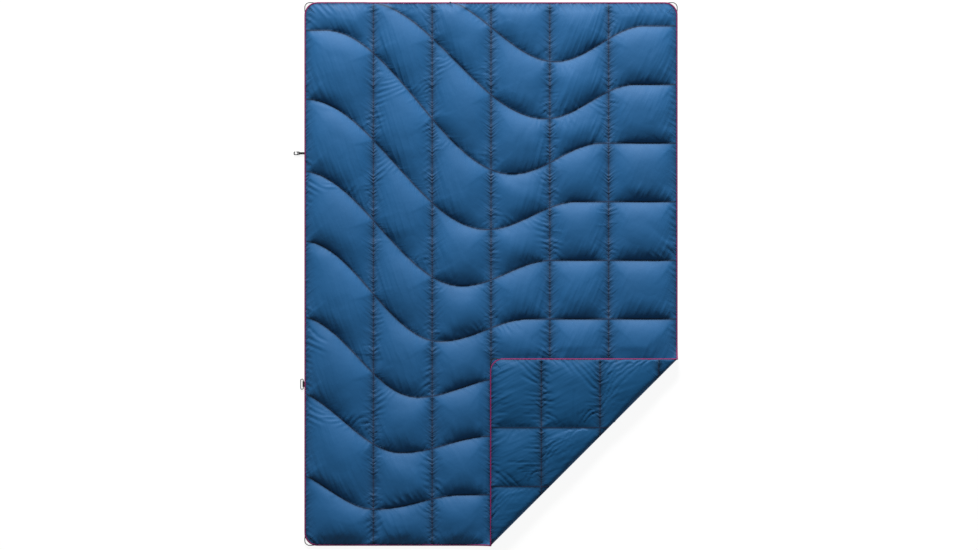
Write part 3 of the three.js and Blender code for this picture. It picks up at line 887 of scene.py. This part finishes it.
def stitch_piece(name, lines, corner, replaces, material=thread):
    """One seam's stitches. lines holds (points, 1 for the upper side or -1 for the lower side)."""
    ring = ((1, 0), (0.7, 0.7), (-0.7, 0.7), (-1, 0))
    points, faces = [], []
    for line, sign in lines:
        if len(line) < 2:
            continue
        here, way = along_line(line, STITCH_PITCH)
        side = np.cross(way, (0, 0, sign))
        side /= np.linalg.norm(side, axis=1, keepdims=True)
        over = np.cross(side, way)
        for c, w, s, o in zip(here, way, side, over):
            n = len(points)
            for at in (-0.5, -0.3, 0.3, 0.5):
                thin = 0.35 if abs(at) == 0.5 else 1.0
                middle = c + w * at * STITCH_LENGTH
                for a, r in ring:
                    points.append(middle + s * a * STITCH_WIDTH * thin + o * r * STITCH_RISE * thin)
            for r in range(3):
                for q in range(3):
                    p = n + r * 4 + q
                    faces.append([p, p + 1, p + 5, p + 4])
            faces.append([n, n + 1, n + 2, n + 3][::-1])
            faces.append([n + 12, n + 13, n + 14, n + 15])
    if not points:
        return
    points = np.array(points)
    if corner:
        points = turned_over(points)
    return make_object(name, points, faces, "corner_flap" if corner else "blanket", material, replaces)


def seam_lines(cells, corner):
    """The sewn lines over some grid points in order, on both fabrics, on one side of the fold."""
    i, j = np.array(cells).T
    this_side = past[i, j] > 0.004 if corner else past[i, j] < -0.004
    keep = sewn[i, j] & this_side & (inside_edge(flat_x[i, j], flat_y[i, j]) > 0.012)
    i, j = i[keep], j[keep]
    return [(face[i, j], 1), (back[i, j], -1)]


def add_seam(kind, number, cells):
    for corner in (False, True):
        node = f"{'flap_' if corner else ''}{kind}_stitch_{number:02d}"
        if node in frame["nodes"]:
            stitch_piece(node.replace("stitch", "thread"), seam_lines(cells, corner), corner, [node])


for n, x in enumerate(COLUMNS):
    i = int(np.argmin(np.abs(grid_x - x)))
    add_seam("column", n + 1, [(i, j) for j in range(NY)])
for k in range(len(WAVES)):
    cells = sorted(set(chains[k + 1]), key=lambda c: (flat_x[c], -flat_y[c]))
    add_seam("wave", k + 1, cells)


# ---- The edge tape and its stitches ----

def outline(inset, step=0.005):
    """Points round the blanket's outline, from the head-right corner leftwards, anticlockwise."""
    radius = CORNER_RADIUS - inset
    x, y = HALF_W - CORNER_RADIUS, HALF_L - CORNER_RADIUS
    corners = ((x, y, 0), (-x, y, 1), (-x, -y, 2), (x, -y, 3))
    points = []
    for n, (cx, cy, turn) in enumerate(corners):
        for a in np.linspace(turn, turn + 1, 15) * math.pi / 2:
            points.append((cx + radius * math.cos(a), cy + radius * math.sin(a)))
        nx, ny, next_turn = corners[(n + 1) % 4]
        a = (turn + 1) * math.pi / 2
        start = np.array([cx + radius * math.cos(a), cy + radius * math.sin(a)])
        end = np.array([nx + radius * math.cos(a), ny + radius * math.sin(a)])
        count = round(np.linalg.norm(end - start) / step)
        points += [tuple(start + (end - start) * t) for t in np.linspace(0, 1, count + 1)[1:-1]]
    return np.array(points)


def edge_paths(inset):
    """The outline as two open paths, for the blanket and for its corner, each ending on the fold."""
    points = outline(inset)
    beyond = beyond_fold(points[:, 0], points[:, 1])
    crossings = np.flatnonzero(np.sign(beyond) != np.sign(np.roll(beyond, -1)))
    ends = []
    for i in crossings:
        k = (i + 1) % len(points)
        t = beyond[i] / (beyond[i] - beyond[k])
        ends.append((i, points[i] + (points[k] - points[i]) * t))
    (i0, e0), (i1, e1) = ends
    one = np.concatenate([[e0], points[i0 + 1:i1 + 1], [e1]])
    other = np.concatenate([[e1], points[i1 + 1:], points[:i0 + 1], [e0]])
    lifted = []
    for path in (one, other):
        x, y = path.T
        side = np.sign(beyond_fold(x, y).mean())
        level = EDGE_Z if side < 0 else FLAP_EDGE_Z
        z = level + (FOLD_Z - level) * np.exp(-np.abs(beyond_fold(x, y)) / FOLD_FADE)
        lifted.append((side > 0, np.stack([x, y, z], axis=-1)))
    return dict(lifted)


for corner, path in edge_paths(TAPE_HALF).items():
    name, body = ("flap_edge", "corner_flap") if corner else ("edge", "blanket")
    sweep_piece(f"{name}_tape", path, ellipse(TAPE_HALF, TAPE_RISE, 12), body, "binding_tape", tape,
                [f"{name}_binding"], flap=corner, round_ends=3)
for corner, path in edge_paths(TAPE_HALF * 1.35).items():
    keep = np.abs(beyond_fold(path[:, 0], path[:, 1])) > 0.008
    path = path[keep]
    rise = np.array([0, 0, TAPE_RISE * 0.93])
    stitch_piece(f"{'flap_' if corner else ''}tape_thread", [(path + rise, 1), (path - rise, -1)], corner, [],
                 tape_stitch)


# ---- Corner loops of cord ----

LOOP_BEND, LOOP_FOOT, CORD_RADIUS, CORD_Z = 0.017, 0.034, 0.0015, 0.0042


def loop_path(right, head, z):
    """Along the square of a corner, from under the tape on one side to under it on the other."""
    bend = LOOP_BEND + CORD_RADIUS
    flat = [(TAPE_HALF, LOOP_FOOT + 0.008), (TAPE_HALF - 0.0004, LOOP_FOOT), (CORD_RADIUS, LOOP_FOOT - 0.008)]
    flat += [(CORD_RADIUS, d) for d in np.linspace(LOOP_FOOT - 0.012, bend, 3)]
    angles = np.linspace(0, math.pi / 2, 14)[1:-1]
    turn = [(bend - LOOP_BEND * math.cos(a), bend - LOOP_BEND * math.sin(a)) for a in angles]
    whole = flat + turn + [(b, a) for a, b in flat[::-1]]
    return [(right * (HALF_W - dx), head * (HALF_L - dy), z) for dx, dy in whole]


CORNERS = (("head_left", -1, 1), ("head_right", 1, 1), ("foot_left", -1, -1), ("flap", 1, -1))
for place, right, head in CORNERS:
    flap = place == "flap"
    path = np.array(loop_path(right, head, FLAP_EDGE_Z if flap else CORD_Z))
    node = "flap_corner_loop" if flap else f"corner_loop_{place}"
    piece = sweep_piece(f"cord_loop_{place}", path, ellipse(CORD_RADIUS, CORD_RADIUS, 10),
                        "corner_flap" if flap else "blanket", "loop_cord", cord_black, [node], flap=flap)


# ---- The clip, the keeper ring and their webbing ----

CLIP_Y, KEEPER_Y, HARDWARE_Z = 0.423, -0.386, 0.0032
PLY = 0.001


def strap(name, y, width, eye, eye_radius, body, replaces):
    """Webbing folded round a bar: out along the top, round the bar, and back underneath."""
    bend = eye_radius + PLY / 2
    rise = PLY / 2 + 0.0001
    lean = math.asin(rise / bend)
    angles = np.linspace(lean, 2 * math.pi - lean, 22)
    neck = -HALF_W - eye + bend * math.cos(lean)
    root = -HALF_W - 0.0002
    path = [(-HALF_W - eye + bend * math.cos(a), y, HARDWARE_Z + bend * math.sin(a)) for a in angles]
    if neck < root - 0.001:
        out = [(root + (neck - root) * t, y, HARDWARE_Z + rise) for t in np.linspace(0, 1, 8)[:-1]]
        home = [(neck + (root - neck) * t, y, HARDWARE_Z - rise) for t in np.linspace(0, 1, 8)[1:]]
        path = out + path + home
    # Up lies across the strap here, so its width is the section's rise.
    w, t = width / 2, PLY / 2
    edge = w * 0.97
    section = [(0, w), (t, edge), (t, 0), (t, -edge), (0, -w), (-t, -edge), (-t, 0), (-t, edge)]
    points, faces, along, around = swept(path, section, up=(0, 1, 0))
    piece = make_object(name, points, faces, body, webbing, replaces, smooth_shade=False)
    add_uv(piece, "run", along, around)


strap("clip_strap", CLIP_Y, 0.008, 0.017, 0.0021, "clip_tab", ["clip_webbing"])
strap("keeper_strap", KEEPER_Y, 0.020, 0.0038, 0.0019, "blanket", ["keeper_webbing"])


def moulded_plate(name, outlines, thickness, bevel, y, body, replaces):
    """A flat moulding with round edges, from outlines of (reach from the edge, place along it, radius)."""
    curve = bpy.data.curves.new(name, "CURVE")
    curve.dimensions, curve.fill_mode = "2D", "BOTH"
    curve.extrude = thickness / 2 - bevel
    curve.bevel_depth, curve.bevel_resolution, curve.offset = bevel, 2, -bevel
    for outline_points in outlines:
        points = rounded_polygon(outline_points)
        spline = curve.splines.new("POLY")
        spline.points.add(len(points) - 1)
        for point, at in zip(spline.points, points):
            point.co = (at.x, at.y, 0, 1)
        spline.use_cyclic_u = True
    made = bpy.data.objects.new(name, curve)
    bpy.context.scene.collection.objects.link(made)
    bpy.context.view_layer.update()
    mesh = bpy.data.meshes.new_from_object(made.evaluated_get(bpy.context.evaluated_depsgraph_get()))
    bpy.data.objects.remove(made)
    mesh.name = name
    mesh.materials.clear()
    mesh.materials.append(moulded)
    mesh.transform(Matrix.Translation((-HALF_W, y, HARDWARE_Z)) @ Matrix.Scale(-1, 4, (1, 0, 0)))
    mesh.flip_normals()
    mesh.shade_smooth()
    piece = bpy.data.objects.new(name, mesh)
    bpy.context.scene.collection.objects.link(piece)
    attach(piece, body)
    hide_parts(*replaces)


HOOK_HALF, THROAT_HALF, SLOT_HALF = 0.00635, 0.00325, 0.0045
HOOK_START, HOOK_END = 0.016, 0.0376
THROAT_START, THROAT_END = 0.0242, 0.0338
MOUTH_START, MOUTH_END = 0.0282, 0.032
SLOT_START, SLOT_END = 0.018, 0.0208
SLOT_CORNER = 0.0008
HOOK_THICKNESS, HOOK_BEVEL = 0.0032, 0.0006
hook_outline = [
    (HOOK_START, -HOOK_HALF, 0.004), (HOOK_END, -HOOK_HALF, 0.004), (HOOK_END, HOOK_HALF, 0.004),
    (MOUTH_END, HOOK_HALF, 0.0008), (MOUTH_END, THROAT_HALF, 0.0006), (THROAT_END, THROAT_HALF, 0.0011),
    (THROAT_END, -THROAT_HALF, 0.0024), (THROAT_START, -THROAT_HALF, 0.0024),
    (THROAT_START, THROAT_HALF, 0.0024),
    (MOUTH_START, THROAT_HALF, 0.0006), (MOUTH_START, HOOK_HALF, 0.0008), (HOOK_START, HOOK_HALF, 0.004),
]
hook_slot = [(SLOT_START, -SLOT_HALF, SLOT_CORNER), (SLOT_START, SLOT_HALF, SLOT_CORNER),
             (SLOT_END, SLOT_HALF, SLOT_CORNER), (SLOT_END, -SLOT_HALF, SLOT_CORNER)]
moulded_plate("hook_moulding", [hook_outline, hook_slot], HOOK_THICKNESS, HOOK_BEVEL, CLIP_Y, "clip_hook",
              ["clip_hook"])

RING_BAR, RING_BOW, RING_HALF, RING_CORNER, WIRE = 0.0038, 0.0129, 0.0178, 0.0042, 0.0015
ring_path = rounded_polygon([(RING_BAR, -RING_HALF, RING_CORNER), (RING_BOW, -RING_HALF, RING_CORNER),
                             (RING_BOW, RING_HALF, RING_CORNER), (RING_BAR, RING_HALF, RING_CORNER)], 8)
ring_path = [(-HALF_W - p.x, KEEPER_Y + p.y, HARDWARE_Z) for p in ring_path]
sweep_piece("ring_moulding", ring_path, ellipse(WIRE, WIRE, 14), "keeper_ring", "moulded_nylon", moulded,
            ["keeper_ring"], closed=True)


# ---- Stage ----

def add_light(name, location, target, size, power):
    data = bpy.data.lights.new(name, "AREA")
    data.shape = "RECTANGLE"
    data.size, data.size_y = size
    data.energy = power
    lamp = bpy.data.objects.new(name, data)
    bpy.context.scene.collection.objects.link(lamp)
    lamp.location = location
    lamp.rotation_euler = (Vector(target) - Vector(location)).to_track_quat("-Z", "Y").to_euler()


def add_stage():
    mesh = bpy.data.meshes.new("floor")
    mesh.from_pydata([(-8, -8, 0), (8, -8, 0), (8, 8, 0), (-8, 8, 0)], [], [(0, 1, 2, 3)])
    floor = bpy.data.objects.new("floor", mesh)
    bpy.context.scene.collection.objects.link(floor)
    pale = Nodes("floor", 0.95, 0.1)
    pale.set(pale.shader, Base_Color=(0.12, 0.12, 0.12, 1), Emission_Color=(1, 1, 1, 1),
             Emission_Strength=0.92)
    floor.data.materials.append(pale.material)
    world = bpy.data.worlds.new("world")
    bpy.context.scene.world = world
    world.use_nodes = True
    background = world.node_tree.nodes["Background"]
    background.inputs["Color"].default_value = (0.95, 0.97, 1, 1)
    background.inputs["Strength"].default_value = 0.16
    add_light("key", (-0.5, 8.2, 3.9), (0, -0.3, 0), (3.0, 1.6), 1480)
    bpy.context.scene.view_settings.view_transform = "Standard"


add_stage()
